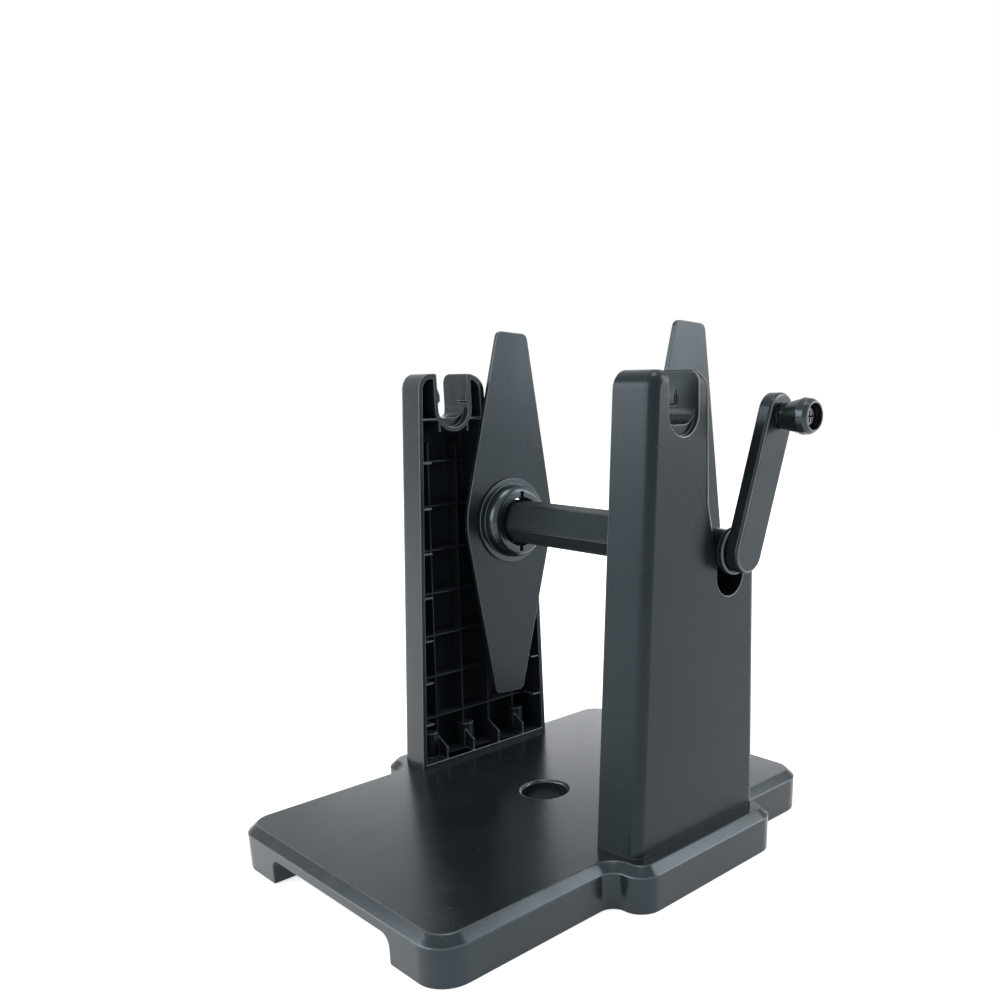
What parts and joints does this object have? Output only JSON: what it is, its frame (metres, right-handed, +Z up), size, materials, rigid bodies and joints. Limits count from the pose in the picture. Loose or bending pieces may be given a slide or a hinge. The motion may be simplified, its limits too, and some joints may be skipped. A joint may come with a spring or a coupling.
{
  "type": "manual label rewinder",
  "caption": "Hand cranked label rewinder: two ribbed black uprights on a moulded base carry a hexagonal spindle with two sliding flanges.",
  "frame": {"origin": "on the bench, under the middle of the overall box", "axes": "+X along the spindle towards the crank, +Y from the front edge of the base to its rear edge, +Z up"},
  "size_m": [0.2119, 0.239, 0.2446],
  "materials": {
    "black_moulding": "satin moulded black plastic",
    "black_bar": "smooth black plastic",
    "pads": "matt dark grey",
    "steel": "bright drawn",
    "screw": "zinc plated",
    "black_screw": "black oxide",
    "grip": "matt black",
    "knob": "satin black"
  },
  "bodies": {
    "stand": {"base_plate": "black_moulding", "base_pads": "pads", "upright_left": "black_moulding", "upright_right": "black_moulding", "upright_screws_left": "screw", "upright_screws_right": "screw"},
    "bearings": {"bearing_bush_left": "black_bar", "bearing_bush_right": "black_bar"},
    "spindle": {"core_rod": "steel", "hex_sleeve": "black_bar", "sleeve_pin": "steel", "end_collar": "black_bar", "collar_grub_screw": "screw", "crank_arm": "black_moulding", "knob_screw": "black_screw", "knob_washer": "steel"},
    "flange_left": {"flange_plate_left": "black_moulding", "core_hub_left": "black_bar", "grip_ring_left": "grip", "hub_screws_left": "screw"},
    "flange_right": {"flange_plate_right": "black_moulding", "core_hub_right": "black_bar", "grip_ring_right": "grip", "hub_screws_right": "screw"},
    "knob": {"knob_grip": "knob"}
  },
  "joints": [
    {"name": "spindle_lift", "type": "slide", "parent": "stand", "child": "bearings", "axis": [0, 0, 1], "range_m": [0, 0.03]},
    {"name": "spindle_turn", "type": "hinge", "parent": "bearings", "child": "spindle", "pos_m": [-0.00785, 0.0418, 0.1486], "axis": [1, 0, 0], "continuous": true},
    {"name": "flange_left_slide", "type": "slide", "parent": "spindle", "child": "flange_left", "axis": [1, 0, 0], "range_m": [0, 0.045]},
    {"name": "flange_right_slide", "type": "slide", "parent": "spindle", "child": "flange_right", "axis": [-1, 0, 0], "range_m": [0, 0.045]},
    {"name": "knob_turn", "type": "hinge", "parent": "spindle", "child": "knob", "pos_m": [0.09215, 0.06176, 0.20497], "axis": [1, 0, 0], "continuous": true}
  ]
}
